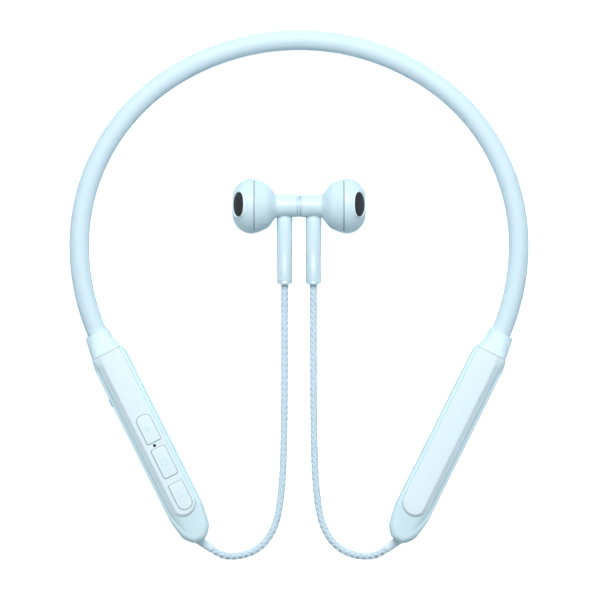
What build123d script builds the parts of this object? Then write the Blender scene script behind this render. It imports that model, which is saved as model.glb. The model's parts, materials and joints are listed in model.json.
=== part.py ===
from build123d import *
from math import asin, cos, pi, radians, sin, tan
import os

# Neckband earphones, lying on a table: a silicone neckband ends in two long pods, and a braided
# cord runs from the nose of each pod to an earbud. The two earbuds hold together by magnets.
# Millimetres. +Z is up, +Y points to the back of the neckband, and z = 0 is the table.
# Every paired piece is drawn on the right (+X) and mirrored for the left.

# ---- driving dimensions -------------------------------------------------------------------
SLEEVE_R = 3.0                # neckband tube, outer radius
SLEEVE_BORE_R = 1.7
BAND_BACK_Y = 74.0            # centreline of the tube at the back of the neck
BAND_ARCS = ((71.0, 34.0), (59.5, 54.0), (66.0, 28.5))   # radius and turn, from the back round
SOCKET_DEPTH = 3.6            # tube held inside its collar
RUNNING_GAP = 0.06            # clearance round a piece that is pushed into another

POD_LENGTH = 62.95            # from the seam with the collar to the nose
POD_HALF_WIDTH = 5.5
POD_SEAM_HALF_WIDTH = 4.85
POD_HEIGHT = 10.6
POD_MID_Z = 5.3
SHOULDER_Z = 9.3              # foot of the scooped shoulder, and the top of the nose
BOTTOM_ROUND = 2.6
SHOULDER_ROUND = 1.6
WALL = 1.1
DECK_INNER_W = -4.45          # edges of the deck across the pod: the outer side is scooped
DECK_OUTER_W = 3.85
DECK_END = 54.3
COVER_LOW_Z = 8.4             # lower edge of the top cover's skirt
COVER_ROOF_Z = 9.4            # underside of the top cover's plate

COLLAR_LENGTH = 6.8
COLLAR_WIDTH = 7.5
SEAM_GAP = 0.15

KEYS = {                      # start, end, corner radius at each end, along the pod
    "volume_up_button": (21.25, 30.25, 2.0, 0.5),
    "play_button": (31.95, 41.65, 0.9, 0.9),
    "volume_down_button": (43.65, 52.55, 0.5, 2.2),
}
KEY_CENTRE_W = -1.05
KEY_WIDTH = 4.8
KEY_GAP = 0.12
KEY_TOP_Z = POD_HEIGHT + 0.15
KEY_LIP_Z = (8.75, 9.1)       # the lip under the cover that keeps a key in
MIC_PLACE = (31.1, -0.6)      # microphone port, between the first two keys
MIC_PORT_R = 0.45

BOARD_Z = (5.9, 6.7)
PORT_PLACE = 18.1             # charging port's centre along the pod
PORT_Z = 4.25
PORT_LENGTH, PORT_HEIGHT = 8.94, 3.26
FLAP_LENGTH, FLAP_HEIGHT, FLAP_THICK = 11.5, 5.0, 0.7

HEAD_R = 8.3                  # earbud head, largest radius
HEAD_FRONT = 20.0             # earbud's length, from the plane between the two
HEAD_SEAM = 13.4
NECK_R = 3.35                 # earbud's magnet neck
SHELL = 0.9
STEM_R = 2.25
STEM_BORE_R = 1.5
STEM_LENGTH = 24.1            # from the earbud's axis to the stem's end
STEM_RING = 1.2
STEM_CENTRE = 4.33            # from the plane between the two earbuds
EARBUD_TILT = 14.5            # the stems lean down to the table
EARBUD_Y = BAND_BACK_Y - 49.9
MAGNET_GAP = 0.15             # from the middle plane to each magnet cap
GRILLE_LENGTH, GRILLE_WIDTH = 7.4, 4.1
GRILLE_LEAN = 45.0            # grille's normal, up from the earbud's axis

CORD_R = 1.05
CORD_FLOOR_Z = CORD_R + 0.02
RELIEF_ROOT_R, RELIEF_END_R = 1.3, 1.15

os.makedirs("parts", exist_ok=True)

# ---- shared frames ------------------------------------------------------------------------
band_turn = sum(arc_turn for _, arc_turn in BAND_ARCS)

with BuildLine() as half_band:
    band_corner = Vector(0, 0)
    band_heading = Vector(1, 0)
    for arc_radius, arc_turn in BAND_ARCS:
        arc = JernArc(start=band_corner, tangent=band_heading, radius=arc_radius, arc_size=-arc_turn)
        band_corner = arc @ 1
        band_heading = arc % 1

# The band's plane drops from the pods' mid height to the table at the back of the neck.
band_tilt = asin((POD_MID_Z - SLEEVE_R) / -band_corner.Y)
band_plane = Plane(
    origin=(0, BAND_BACK_Y, SLEEVE_R), x_dir=(1, 0, 0), z_dir=(0, sin(band_tilt), cos(band_tilt))
)
right_path = band_plane.location * half_band.line
band_end = band_plane.from_local_coords(band_corner)

# Pod frame: x runs from the seam to the nose, y outwards, z up.
pod_x = Vector(cos(radians(band_turn)), -sin(radians(band_turn)))
pod_y = Vector(sin(radians(band_turn)), cos(radians(band_turn)))
seam_point = Vector(band_end.X, band_end.Y) + pod_x * (COLLAR_LENGTH - SOCKET_DEPTH)
pod_plane = Plane(origin=seam_point, x_dir=pod_x, z_dir=(0, 0, 1))


def pod_section(along):
    """A plane across the pod: x is outwards, y is up, and it faces the nose."""
    return Plane(origin=seam_point + pod_x * along, x_dir=pod_y, z_dir=pod_x)


def pod_wall(outwards):
    """A plane along the pod's outer wall: x is towards the nose, y is down, and it faces outwards."""
    return Plane(origin=seam_point + pod_y * outwards, x_dir=pod_x, z_dir=pod_y)


# Earbud frame: x outwards along the earbud, y down the stem.
stem_way = Vector(0, -cos(radians(EARBUD_TILT)), -sin(radians(EARBUD_TILT)))
earbud_centre = Vector(0, EARBUD_Y, HEAD_R)
earbud_plane = Plane(origin=earbud_centre, x_dir=(1, 0, 0), z_dir=Vector(1, 0, 0).cross(stem_way))
stem_foot = earbud_centre + Vector(STEM_CENTRE, 0, 0)


def stem_section(down):
    """A plane across the stem, at a distance down from the earbud's axis."""
    return Plane(origin=stem_foot + stem_way * down, x_dir=(1, 0, 0), z_dir=stem_way)


# The grille looks outwards and up, a little behind the earbud's axis.
grille_lean = radians(GRILLE_LEAN)
grille_normal = Vector(cos(grille_lean), 0.095 * sin(grille_lean), 0.995 * sin(grille_lean))
grille_centre = earbud_centre + Vector(14.05, -0.02, 2.25) + grille_normal * 5.75
grille_plane = Plane(origin=grille_centre, x_dir=Vector(0, 0.995, -0.095), z_dir=grille_normal)


# ---- helpers ------------------------------------------------------------------------------
def save(piece, name):
    """Label a finished piece and write its STEP file."""
    piece.label = name
    export_step(piece, f"parts/{name}.step")


def mirrored(piece):
    """The left-hand twin of a right-hand piece."""
    with BuildPart() as twin:
        mirror(piece, about=Plane.YZ)
    return twin.part


def save_pair(piece, name):
    """Write a right-hand piece and its left-hand twin."""
    save(piece, f"right_{name}")
    save(mirrored(piece), f"left_{name}")


def in_pod(shape):
    """The middle of a face or an edge, in the pod's frame."""
    return pod_plane.to_local_coords(shape.center())


def outline(points, radius, mode=Mode.ADD):
    """A closed outline with one corner radius for each point, drawn in the current sketch."""
    with BuildLine() as edge:
        FilletPolyline(*points, close=True, radius=radius)
    make_face(edge.edges(), mode=mode)


def pod_outline(inset=0.0, start=0.0):
    """The pod seen from above, with its walls moved in by inset."""
    half = POD_HALF_WIDTH - inset
    tip = POD_LENGTH - inset
    side = [
        (start, POD_SEAM_HALF_WIDTH - inset), (3.2, half), (53.8, half),
        (tip - 2.95, half - 1.05), (tip, half - 3.6),
    ]
    other_side = [(x, -y) for x, y in reversed(side)]
    tip_round = 3.0 - 1.3 * inset
    outline(side + other_side, radius=[0, 8, 15, 5, tip_round, tip_round, 5, 15, 8, 0])


def deck_outline(inset=0.0):
    """Where the top cover sits in the pod: it follows the inner side, and its lower end is round."""
    low, high, tip = DECK_INNER_W + inset, DECK_OUTER_W - inset, DECK_END - inset
    outline(
        [(0, low + 0.65), (3.2, low), (tip, low), (tip, high), (0, high)],
        radius=[0, 8, 4.1 - inset, 4.1 - inset, 0],
    )


def key_outline(key, inset=0.0, lip=0.0):
    """A key seen from above: inset moves all its edges in, and lip moves its long sides out."""
    start, end, start_radius, end_radius = KEYS[key]
    half = KEY_WIDTH / 2 - inset + lip
    low, high = KEY_CENTRE_W - half, KEY_CENTRE_W + half
    outline(
        [(start + inset, low), (start + inset, high), (end - inset, high), (end - inset, low)],
        radius=[start_radius, start_radius, end_radius, end_radius],
    )


# ---- neckband -----------------------------------------------------------------------------
def band_path(tail=0.0):
    """The band's centreline from collar to collar, with a straight tail at each end."""
    right = right_path
    if tail:
        right = Curve() + [right, Line(right @ 1, (right @ 1) + (right % 1) * tail)]
    with BuildLine() as whole:
        add(right)
        mirror(right, about=Plane.YZ)
    return whole.wire()


def swept(path, radius, rise=0.0, bore=0.0):
    """A round bar along the path, raised above it by rise, with an optional bore."""
    way = path % 0
    with BuildPart() as bar:
        with BuildSketch(Plane(origin=path @ 0, x_dir=Vector(0, 0, 1).cross(way), z_dir=way)):
            with Locations((0, rise)):
                Circle(radius)
                if bore:
                    Circle(bore, mode=Mode.SUBTRACT)
        sweep(path=path)
    return bar.part


save(swept(band_path(), SLEEVE_R, bore=SLEEVE_BORE_R), "neckband_sleeve")
save(swept(band_path(), 0.6, rise=0.85), "memory_wire")
save(swept(band_path(tail=6.0), 0.75, rise=-0.75), "wire_harness")

# ---- collar: from the tube to the pod -----------------------------------------------------
with BuildPart() as socket_space:
    with BuildSketch(Plane(origin=right_path @ 1, z_dir=right_path % 1)):
        Circle(SLEEVE_R + RUNNING_GAP)
    sweep(path=Wire(right_path.edges().sort_by(Axis.Y)[0]))

with BuildPart() as collar:
    with BuildSketch(pod_section(-COLLAR_LENGTH)):
        with Locations((0.1, POD_MID_Z)):
            RectangleRounded(COLLAR_WIDTH, 7.6, 3.0)
    with BuildSketch(pod_section(-SEAM_GAP)):
        with Locations((0, POD_MID_Z)):
            RectangleRounded(2 * POD_SEAM_HALF_WIDTH, POD_HEIGHT - 0.2, 2.4)
    loft()
    with BuildSketch(pod_section(-SEAM_GAP)):
        with Locations((0, 4.75)):
            RectangleRounded(7.0, 6.7, 1.6)
            RectangleRounded(5.4, 5.1, 0.9, mode=Mode.SUBTRACT)
    extrude(amount=1.6)
    with BuildSketch(pod_section(0)):
        with Locations((0, POD_MID_Z)):
            Circle(1.9)
    extrude(amount=-COLLAR_LENGTH, mode=Mode.SUBTRACT)
    add(socket_space.part, mode=Mode.SUBTRACT)
save_pair(collar.part, "collar")

# ---- pod form: the outer shape that both halves of a pod's case are cut from ------------------
with BuildPart() as pod_block:
    with BuildSketch(pod_plane):
        pod_outline()
    extrude(amount=SHOULDER_Z)
    lengthwise = pod_block.edges().filter_by(lambda edge: in_pod(edge).X > 0.1)
    fillet(lengthwise.filter_by(lambda edge: in_pod(edge).Z < 0.1), radius=BOTTOM_ROUND)
    top_edges = pod_block.edges().filter_by(lambda edge: in_pod(edge).Z > SHOULDER_Z - 0.1)
    fillet(top_edges.filter_by(lambda edge: in_pod(edge).X > 0.1), radius=SHOULDER_ROUND)

with BuildPart() as deck_block:
    with BuildSketch(pod_plane.offset(SHOULDER_Z - SHOULDER_ROUND)):
        pod_outline()
        with Locations((DECK_END + 5.8, 0), (DECK_END + 9.9, 0)):
            Rectangle(20, 14, mode=Mode.SUBTRACT)
        with Locations((30, DECK_OUTER_W + 5.3)):
            Rectangle(70, 10, mode=Mode.SUBTRACT)
        deck_outline()
    extrude(amount=POD_HEIGHT - SHOULDER_Z + SHOULDER_ROUND)
    inner_rim = deck_block.edges().filter_by(
        lambda edge: in_pod(edge).Z > POD_HEIGHT - 0.01 and in_pod(edge).Y < -4.6
    )
    fillet(inner_rim.filter_by(lambda edge: 0.1 < in_pod(edge).X < 50), radius=0.95)
    # The scoop beside the deck has a sloped side and a round start below the seam.
    with BuildSketch(pod_plane.offset(SHOULDER_Z)):
        with Locations((35, 4.75)):
            SlotCenterToCenter(60, 1.8)
    with BuildSketch(pod_plane.offset(POD_HEIGHT + 0.1)):
        with Locations((35, 4.75)):
            SlotCenterToCenter(60, 5.4)
    loft(mode=Mode.SUBTRACT)

with BuildPart() as pod_form:
    add(pod_block.part)
    add(deck_block.part)

# ---- cord, its strain relief and its route ----------------------------------------------------
RELIEF_TURN, RELIEF_DIP = 28.0, 8.0        # inwards from the pod's axis, and down
RELIEF_LENGTH = 4.2
relief_way = pod_x.rotate(Axis.Z, -RELIEF_TURN)
relief_way = Vector(relief_way.X, relief_way.Y, -tan(radians(RELIEF_DIP))).normalized()
relief_end = pod_plane.from_local_coords(Vector(66.65, -1.8, 3.0))
stem_end = stem_foot + stem_way * STEM_LENGTH
floor_reach = (stem_end.Z - CORD_FLOOR_Z) / sin(radians(EARBUD_TILT))

# From the strain relief round the bottom bend, up in a long straight stretch, and into the stem.
CORD_ROUTE = [
    tuple(relief_end),
    tuple(relief_end + relief_way * 2.2),
    (21.5, -81.1, 2.20),
    (17.9, -81.0, 1.60),
    (13.3, -79.6, 1.15),
    (9.3, -76.1, CORD_FLOOR_Z),
    (6.6, -70.6, CORD_FLOOR_Z),
    (5.2, -62.1, CORD_FLOOR_Z),
    (4.4, -46.8, CORD_FLOOR_Z),
    tuple(stem_end + stem_way * floor_reach),
    tuple(stem_end),
]


def route_radii(route):
    """The largest arc at each point that the runs beside it allow."""
    points = [Vector(*point) for point in route]
    runs = [after - before for before, after in zip(points, points[1:])]
    return [
        0.45 * min(run.length, after.length) / tan(radians(run.get_angle(after)) / 2)
        for run, after in zip(runs, runs[1:])
    ]


cord_radii = route_radii(CORD_ROUTE)
with BuildLine() as cord_line:
    FilletPolyline(*CORD_ROUTE, radius=cord_radii)
cord_path = cord_line.wire()
with BuildPart() as cord:
    with BuildSketch(Plane(origin=cord_path @ 0, z_dir=cord_path % 0)):
        Circle(CORD_R)
    sweep(path=cord_path)
save_pair(cord.part, "cord")
print("cord radii:", [round(radius, 1) for radius in cord_radii])
print("cord length:", round(cord_path.length, 1), "volume:", round(cord.part.volume, 2),
      "section x length:", round(pi * CORD_R**2 * cord_path.length, 2))
print("cord route:", [tuple(round(value, 2) for value in point) for point in CORD_ROUTE])


def relief_section(back):
    """A plane across the strain relief, at a distance back from its end."""
    return Plane(origin=relief_end - relief_way * back, z_dir=relief_way)


with BuildPart() as strain_relief:
    with BuildSketch(relief_section(RELIEF_LENGTH)):
        Circle(RELIEF_ROOT_R)
    with BuildSketch(relief_section(0)):
        Circle(RELIEF_END_R)
    loft()
    with BuildSketch(relief_section(RELIEF_LENGTH)):
        Circle(RELIEF_ROOT_R)
    extrude(amount=-2.6)
save_pair(strain_relief.part, "strain_relief")

# ---- pod cases --------------------------------------------------------------------------------
with BuildPart() as base_shell:
    add(pod_form.part)
    with BuildSketch(pod_plane.offset(WALL)):
        pod_outline(inset=WALL, start=-1)
    extrude(amount=COVER_LOW_Z - WALL, mode=Mode.SUBTRACT)
    with BuildSketch(pod_plane.offset(COVER_LOW_Z)):
        deck_outline()
    extrude(amount=5, mode=Mode.SUBTRACT)
    with BuildSketch(relief_section(0)):
        Circle(RELIEF_ROOT_R + RUNNING_GAP)
    extrude(amount=-RELIEF_LENGTH - 3, mode=Mode.SUBTRACT)

with BuildPart() as top_cover:
    with BuildSketch(pod_plane.offset(COVER_LOW_Z)):
        deck_outline(inset=RUNNING_GAP)
    extrude(amount=5)
    add(pod_form.part, mode=Mode.INTERSECT)
    with BuildSketch(pod_plane.offset(COVER_LOW_Z)):
        with Locations((26.7, -0.55)):
            RectangleRounded(54.4, 6.6, 2.6)
    extrude(amount=COVER_ROOF_Z - COVER_LOW_Z, mode=Mode.SUBTRACT)
save(base_shell.part, "right_base_shell")
save(top_cover.part, "right_top_cover")

# Three ribs in the left pod hold the circuit board up off the floor.
with BuildPart() as left_base:
    add(base_shell.part)
    with BuildSketch(pod_plane.offset(WALL)):
        with Locations((9.5, 0), (34, 0), (50, 0)):
            Rectangle(1.0, 2 * (POD_HALF_WIDTH - WALL))
    extrude(amount=BOARD_Z[0] - WALL)
    with BuildSketch(pod_wall(POD_HALF_WIDTH - FLAP_THICK)):
        with Locations((PORT_PLACE, -PORT_Z)):
            RectangleRounded(FLAP_LENGTH + 0.2, FLAP_HEIGHT + 0.2, 1.3)
    extrude(amount=2, mode=Mode.SUBTRACT)
    with BuildSketch(pod_wall(POD_HALF_WIDTH)):
        with Locations((PORT_PLACE, -PORT_Z)):
            RectangleRounded(8.6, 2.9, 1.2)
    extrude(amount=-2, mode=Mode.SUBTRACT)
save(mirrored(left_base.part), "left_base_shell")

with BuildPart() as left_cover:
    add(top_cover.part)
    for key in KEYS:
        with BuildSketch(pod_plane.offset(COVER_ROOF_Z)):
            key_outline(key)
        extrude(amount=5, mode=Mode.SUBTRACT)
    with BuildSketch(pod_plane.offset(COVER_ROOF_Z)):
        with Locations(MIC_PLACE):
            Circle(MIC_PORT_R)
    extrude(amount=5, mode=Mode.SUBTRACT)
save(mirrored(left_cover.part), "left_top_cover")

# ---- keys and what they press -----------------------------------------------------------------
def key_middle(key):
    """The middle of a key along the pod."""
    return (KEYS[key][0] + KEYS[key][1]) / 2


def key_icon(key):
    """A raised sign on a key: plus, ring or minus."""
    with Locations((key_middle(key), KEY_CENTRE_W)):
        if key == "play_button":
            Circle(0.9)
            Circle(0.6, mode=Mode.SUBTRACT)
        else:
            Rectangle(0.35, 1.8)
        if key == "volume_up_button":
            Rectangle(1.8, 0.35)


for key in KEYS:
    with BuildPart() as button:
        with BuildSketch(pod_plane.offset(KEY_LIP_Z[0])):
            key_outline(key, inset=KEY_GAP)
        extrude(amount=KEY_TOP_Z - KEY_LIP_Z[0])
        rim = button.edges().filter_by(lambda edge: in_pod(edge).Z > KEY_TOP_Z - 0.01)
        fillet(rim, radius=0.2)
        with BuildSketch(pod_plane.offset(KEY_LIP_Z[0])):
            key_outline(key, inset=KEY_GAP, lip=0.3)
        extrude(amount=KEY_LIP_Z[1] - KEY_LIP_Z[0])
        with BuildSketch(pod_plane.offset(KEY_TOP_Z)):
            key_icon(key)
        extrude(amount=0.06)
    save(mirrored(button.part), key)

KEY_PAD_Z = (7.95, 8.35)
with BuildPart() as key_pad:
    with BuildSketch(pod_plane.offset(KEY_PAD_Z[0])):
        with Locations((37.3, KEY_CENTRE_W)):
            RectangleRounded(31, 4.9, 1.2)
        with Locations(MIC_PLACE):
            Circle(0.85, mode=Mode.SUBTRACT)
    extrude(amount=KEY_PAD_Z[1] - KEY_PAD_Z[0])
    with BuildSketch(pod_plane.offset(KEY_PAD_Z[1])):
        with Locations(*[(key_middle(key), KEY_CENTRE_W) for key in KEYS]):
            Circle(1.2)
    extrude(amount=KEY_LIP_Z[0] - KEY_PAD_Z[1] - 0.02)
save(mirrored(key_pad.part), "key_pad")

with BuildPart() as tact_switches:
    for height, size in ((0.8, (3.0, 2.6)), (1.2, (1.2, 1.2))):
        with BuildSketch(pod_plane.offset(BOARD_Z[1])):
            with Locations(*[(key_middle(key), KEY_CENTRE_W) for key in KEYS]):
                Rectangle(*size)
        extrude(amount=height)
save(mirrored(tact_switches.part), "tact_switches")

# ---- left pod: circuit board, radio, microphone, charging port ----------------------------------
with BuildPart() as main_board:
    with BuildSketch(pod_plane.offset(BOARD_Z[0])):
        with Locations((32, 0)):
            RectangleRounded(48, 7.8, 0.8)
    extrude(amount=BOARD_Z[1] - BOARD_Z[0])
save(mirrored(main_board.part), "main_board")

with BuildPart() as radio_shield:
    with BuildSketch(pod_plane.offset(BOARD_Z[0] - 1.2)):
        with Locations((42, 0)):
            RectangleRounded(10, 6.0, 0.4)
    extrude(amount=1.2)
save(mirrored(radio_shield.part), "radio_shield")

with BuildPart() as microphone:
    with BuildSketch(pod_plane.offset(BOARD_Z[1])):
        with Locations(MIC_PLACE):
            Rectangle(1.6, 2.2)
    extrude(amount=0.9)
save(mirrored(microphone.part), "microphone")

with BuildPart() as mic_gasket:
    with BuildSketch(pod_plane.offset(BOARD_Z[1] + 0.9)):
        with Locations(MIC_PLACE):
            Circle(0.6)
            Circle(0.35, mode=Mode.SUBTRACT)
    extrude(amount=COVER_ROOF_Z - BOARD_Z[1] - 0.9)
save(mirrored(mic_gasket.part), "mic_gasket")

PORT_MOUTH = POD_HALF_WIDTH - WALL - 0.05
with BuildPart() as port_shell:
    with BuildSketch(pod_wall(PORT_MOUTH)):
        with Locations((PORT_PLACE, -PORT_Z)):
            RectangleRounded(PORT_LENGTH, PORT_HEIGHT, 1.2)
            RectangleRounded(PORT_LENGTH - 0.6, PORT_HEIGHT - 0.6, 0.9, mode=Mode.SUBTRACT)
    extrude(amount=-6.5)
save(mirrored(port_shell.part), "charging_port")

with BuildPart() as port_tongue:
    with BuildSketch(pod_wall(PORT_MOUTH - 6.5)):
        with Locations((PORT_PLACE, -PORT_Z)):
            RectangleRounded(PORT_LENGTH - 0.6, PORT_HEIGHT - 0.6, 0.9)
    extrude(amount=1.2)
    with BuildSketch(pod_wall(PORT_MOUTH - 5.3)):
        with Locations((PORT_PLACE, -PORT_Z)):
            Rectangle(6.2, 0.7)
    extrude(amount=4.2)
save(mirrored(port_tongue.part), "port_tongue")

with BuildPart() as port_flap:
    with BuildSketch(pod_wall(POD_HALF_WIDTH - FLAP_THICK)):
        with Locations((PORT_PLACE, -PORT_Z)):
            RectangleRounded(FLAP_LENGTH - 0.1, FLAP_HEIGHT - 0.1, 1.2)
    extrude(amount=2)
    add(pod_block.part, mode=Mode.INTERSECT)
    with BuildSketch(pod_wall(POD_HALF_WIDTH - 1.5)):
        with Locations((PORT_PLACE, -PORT_Z)):
            RectangleRounded(8.0, 2.3, 1.0)
    extrude(amount=1.5 - FLAP_THICK)
    # The lip that a fingernail pulls, at the end nearer the collar.
    with BuildSketch(pod_wall(POD_HALF_WIDTH - FLAP_THICK / 2)):
        with Locations((PORT_PLACE - FLAP_LENGTH / 2 + 1.6, -PORT_Z)):
            RectangleRounded(2.6, 2.6, 0.6)
    extrude(amount=FLAP_THICK / 2 + 0.45)
save(mirrored(port_flap.part), "port_flap")

# ---- right pod: battery -------------------------------------------------------------------------
with BuildPart() as battery_cell:
    with BuildSketch(pod_plane.offset(WALL + 0.3)):
        with Locations((28, 0)):
            RectangleRounded(36, 7.6, 1.0)
    extrude(amount=5.6)
    fillet(battery_cell.edges().group_by(Axis.Z)[0], radius=1.6)
    fillet(battery_cell.edges().group_by(Axis.Z)[-1], radius=0.8)
save(battery_cell.part, "battery_cell")

with BuildPart() as battery_board:
    with BuildSketch(pod_plane.offset(WALL + 0.9)):
        with Locations((46.6, 0)):
            Rectangle(0.8, 6.4)
    extrude(amount=4.6)
save(battery_board.part, "battery_board")

with BuildPart() as battery_foam:
    with BuildSketch(pod_plane.offset(WALL + 5.9)):
        with Locations((28, -0.5)):
            RectangleRounded(28, 5.6, 0.8)
    extrude(amount=1.3)
save(battery_foam.part, "battery_foam")

# ---- earbud shells ------------------------------------------------------------------------------
def revolved(*points, radius=None):
    """A solid of revolution round the earbud's axis from (along, out) points."""
    with BuildPart() as turned:
        with BuildSketch(earbud_plane):
            outline(points, radius=radius or [0] * len(points))
        revolve(axis=Axis(earbud_centre, (1, 0, 0)))
    return turned.part


DOME_CENTRE = (14.0, 2.3)      # the dome's profile is an arc about this point, with a flat front
DOME_R = HEAD_FRONT - DOME_CENTRE[0]


def dome(inset=0.0):
    """The front of an earbud's head as a solid, with its surface moved in by inset."""
    along, out = DOME_CENTRE
    reach = DOME_R - inset
    with BuildPart() as solid:
        with BuildSketch(earbud_plane):
            with BuildLine():
                rim = Line((HEAD_SEAM + 0.05 - inset, 0), (HEAD_SEAM + 0.05 - inset, out + reach))
                flat = Line(rim @ 1, (along, out + reach))
                bend = CenterArc((along, out), reach, 90, -90)
                Polyline(bend @ 1, (along + reach, 0), rim @ 0)
            make_face()
        revolve(axis=Axis(earbud_centre, (1, 0, 0)))
    return solid.part


with BuildPart() as front_shell:
    add(dome())
    with BuildSketch(grille_plane.offset(-2.0)):
        SlotOverall(GRILLE_LENGTH + 1.2, GRILLE_WIDTH + 1.2)
    extrude(amount=2.0)
    with BuildSketch(grille_plane):
        SlotOverall(GRILLE_LENGTH + 1.2, GRILLE_WIDTH + 1.2)
    extrude(amount=1.0, mode=Mode.SUBTRACT)
    add(dome(inset=SHELL), mode=Mode.SUBTRACT)
    with BuildSketch(grille_plane):
        SlotOverall(GRILLE_LENGTH, GRILLE_WIDTH)
    extrude(amount=-4, mode=Mode.SUBTRACT)
save_pair(front_shell.part, "front_shell")

with BuildPart() as grille:
    with BuildSketch(grille_plane.offset(-0.65)):
        SlotOverall(GRILLE_LENGTH - 0.04, GRILLE_WIDTH - 0.04)
    extrude(amount=0.3)
save_pair(grille.part, "grille")

rear_form = revolved(
    (0.6, 0), (0.6, NECK_R), (6.9, NECK_R), (7.5, 4.5), (12.6, 8.0), (HEAD_SEAM - 0.05, HEAD_R),
    (HEAD_SEAM - 0.05, 0), radius=[0, 0, 0.6, 0.6, 2.5, 0, 0],
)
with BuildPart() as rear_shell:
    add(rear_form)
    add(revolved(
        (1.0, 0), (1.0, 2.45), (6.7, 2.45), (7.4, 3.5), (12.4, 7.3), (HEAD_SEAM, 7.4), (HEAD_SEAM, 0)
    ), mode=Mode.SUBTRACT)
    add(revolved((0, 0), (0, 2.45), (1.2, 2.45), (1.2, 0)), mode=Mode.SUBTRACT)
    with BuildSketch(stem_section(1.5)):
        Circle(STEM_BORE_R - 0.2)
    extrude(amount=4, mode=Mode.SUBTRACT)
save_pair(rear_shell.part, "rear_shell")

with BuildPart() as magnet_cap:
    add(revolved((MAGNET_GAP, 0), (MAGNET_GAP, 3.1), (0.6, 3.1), (0.6, 0), radius=[0, 0.2, 0, 0]))
    add(revolved((0.6, 0), (0.6, 2.4), (1.0, 2.4), (1.0, 0)))
save_pair(magnet_cap.part, "magnet_cap")
save_pair(revolved((1.05, 0), (1.05, 2.3), (2.75, 2.3), (2.75, 0)), "latch_magnet")

# ---- earbud driver --------------------------------------------------------------------------------
DRIVER_R = 6.6
basket_profile = [
    (12.5, 3.25), (12.5, DRIVER_R), (14.2, DRIVER_R), (14.2, 6.1), (12.9, 6.1), (12.9, 3.25)
]
save_pair(revolved(*basket_profile), "driver_basket")
magnet_profile = [
    (11.4, 0), (11.4, 3.2), (13.4, 3.2), (13.4, 2.75), (11.9, 2.75), (11.9, 2.2), (13.5, 2.2), (13.5, 0)
]
save_pair(revolved(*magnet_profile), "driver_magnet")
save_pair(revolved((12.9, 2.35), (12.9, 2.6), (14.25, 2.6), (14.25, 2.35)), "voice_coil")
diaphragm_profile = [
    (14.75, 0), (14.25, 2.35), (14.25, 2.7), (14.5, 5.2), (14.62, 5.2), (14.37, 2.7), (14.4, 2.45), (14.9, 0)
]
save_pair(revolved(*diaphragm_profile), "diaphragm")
surround_profile = [(14.22, 5.25), (14.22, 6.55), (14.34, 6.55), (14.34, 6.1), (14.8, 5.7), (14.62, 5.25)]
save_pair(revolved(*surround_profile), "driver_surround")

# ---- earbud stem ------------------------------------------------------------------------------------
with BuildPart() as stem_tube:
    with BuildSketch(stem_section(0)):
        Circle(STEM_R)
        Circle(STEM_BORE_R, mode=Mode.SUBTRACT)
    extrude(amount=STEM_LENGTH - STEM_RING)
    add(rear_form, mode=Mode.SUBTRACT)
save_pair(stem_tube.part, "stem_tube")

with BuildPart() as stem_ring:
    with BuildSketch(stem_section(STEM_LENGTH - STEM_RING)):
        Circle(STEM_R)
    extrude(amount=STEM_RING)
    end_edge = stem_ring.edges().sort_by(lambda edge: (edge.center() - stem_foot).dot(stem_way))[-1]
    chamfer(end_edge, length=0.4)
    with BuildSketch(stem_section(STEM_LENGTH - STEM_RING)):
        Circle(STEM_BORE_R - 0.03)
    extrude(amount=-1.4)
save_pair(stem_ring.part, "stem_ring")
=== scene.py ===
import json
import math

import bmesh
import bpy
import numpy as np
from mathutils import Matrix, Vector


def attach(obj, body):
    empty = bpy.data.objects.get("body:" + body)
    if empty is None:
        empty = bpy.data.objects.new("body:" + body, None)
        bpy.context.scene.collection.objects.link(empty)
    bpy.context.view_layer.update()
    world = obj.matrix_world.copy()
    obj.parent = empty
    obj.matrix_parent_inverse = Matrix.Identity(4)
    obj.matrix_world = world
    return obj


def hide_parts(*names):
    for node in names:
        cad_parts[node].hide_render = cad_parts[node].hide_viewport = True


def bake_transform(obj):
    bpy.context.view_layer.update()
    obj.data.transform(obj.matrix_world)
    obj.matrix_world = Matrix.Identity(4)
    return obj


# Neckband earphones on a white table, seen from straight above.
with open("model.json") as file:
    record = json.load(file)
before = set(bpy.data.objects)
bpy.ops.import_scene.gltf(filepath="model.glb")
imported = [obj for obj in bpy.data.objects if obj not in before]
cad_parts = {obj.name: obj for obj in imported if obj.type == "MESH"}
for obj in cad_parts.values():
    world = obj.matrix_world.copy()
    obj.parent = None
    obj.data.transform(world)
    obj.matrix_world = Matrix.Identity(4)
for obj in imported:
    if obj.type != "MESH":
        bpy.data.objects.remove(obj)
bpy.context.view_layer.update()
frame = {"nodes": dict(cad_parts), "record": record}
nodes = frame["nodes"]
MM = 0.001
SIDES = {"left": -1, "right": 1}

# ---- the object's dimensions, in millimetres, as in the CAD model unless a comment says otherwise ---
SLEEVE_R = 3.0
BAND_BACK_Y = 74.0
BAND_ARCS = ((71.0, 34.0), (59.5, 54.0), (66.0, 28.5))  # radius and turn in degrees, from the back
BAND_TURN = math.radians(sum(turn for _, turn in BAND_ARCS))
COLLAR_LENGTH = 6.8
SOCKET_DEPTH = 3.6
POD_MID_Z = 5.3
CORD_D = 2.1
EARBUD_TILT = math.radians(14.5)
HEAD_R = 8.3
STEM_CENTRE = 4.33
STEM_LENGTH = 23.8  # 0.3 shorter than the CAD model's
EARBUD_Y = BAND_BACK_Y - 49.9

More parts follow.
